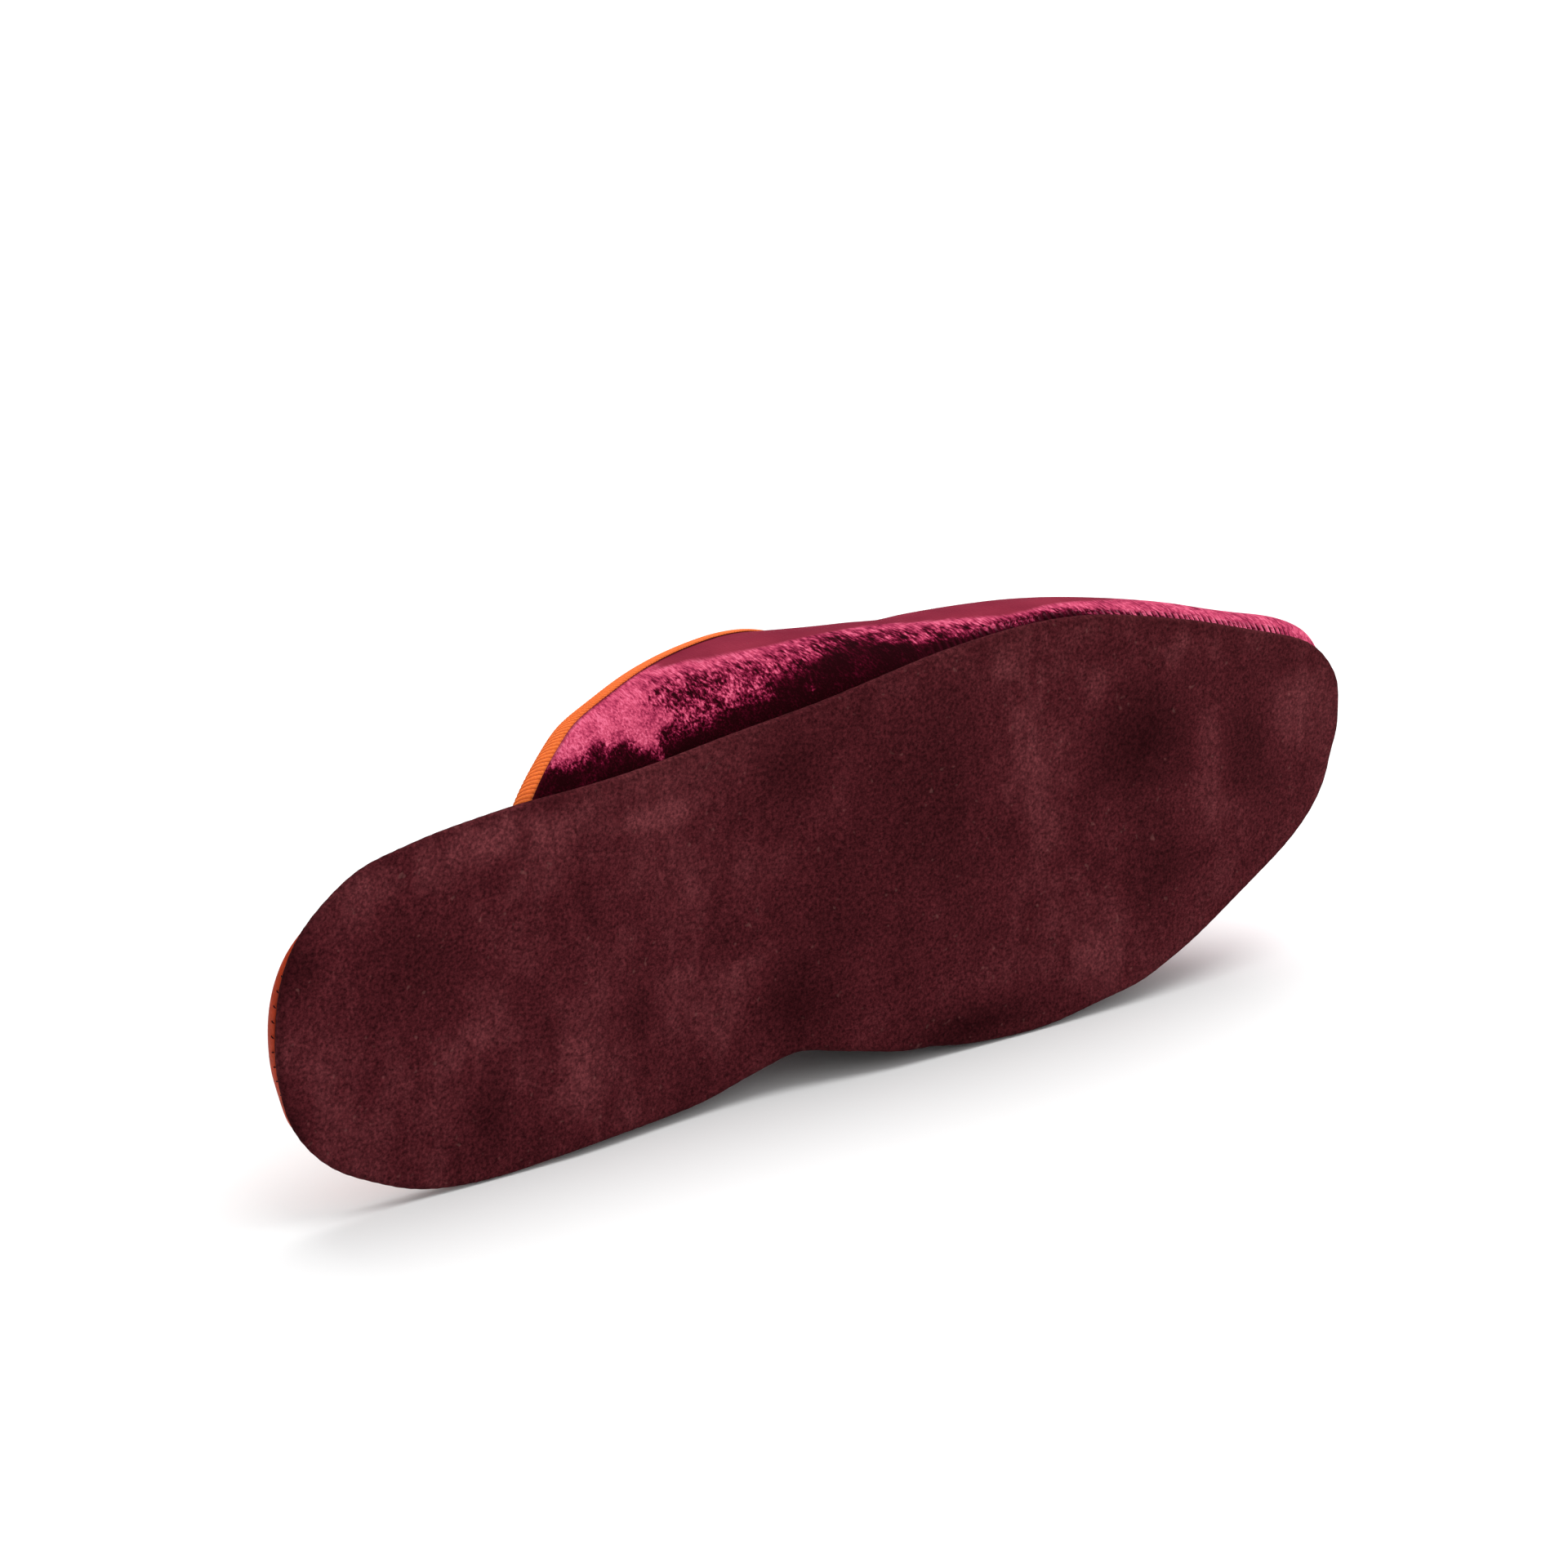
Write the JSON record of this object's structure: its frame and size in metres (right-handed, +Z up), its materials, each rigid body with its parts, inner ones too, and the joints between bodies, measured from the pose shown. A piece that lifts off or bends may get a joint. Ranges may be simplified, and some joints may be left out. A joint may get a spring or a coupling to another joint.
{
  "type": "babouche slipper",
  "caption": "Soft backless velvet slipper for the left foot, with a suede sole, a padded leather insole and a ribbon-bound collar, lying on its outer side.",
  "frame": {"origin": "on the floor, under the middle of the whole slipper's length and height", "axes": "+X towards the toe, -Y out of the tread of the sole, +Y up the height of the foot, +Z up, from the outer side that lies on the floor to the inner side"},
  "size_m": [0.256, 0.0516, 0.0852],
  "materials": {
    "suede": "napped burgundy suede",
    "insole_leather": "smooth brick orange leather",
    "velvet": "crushed raspberry silk velvet",
    "ribbon": "ribbed orange grosgrain ribbon"
  },
  "bodies": {
    "root": {"outsole": "suede", "insole": "insole_leather", "upper": "velvet", "collar_binding": "ribbon"}
  },
  "joints": []
}
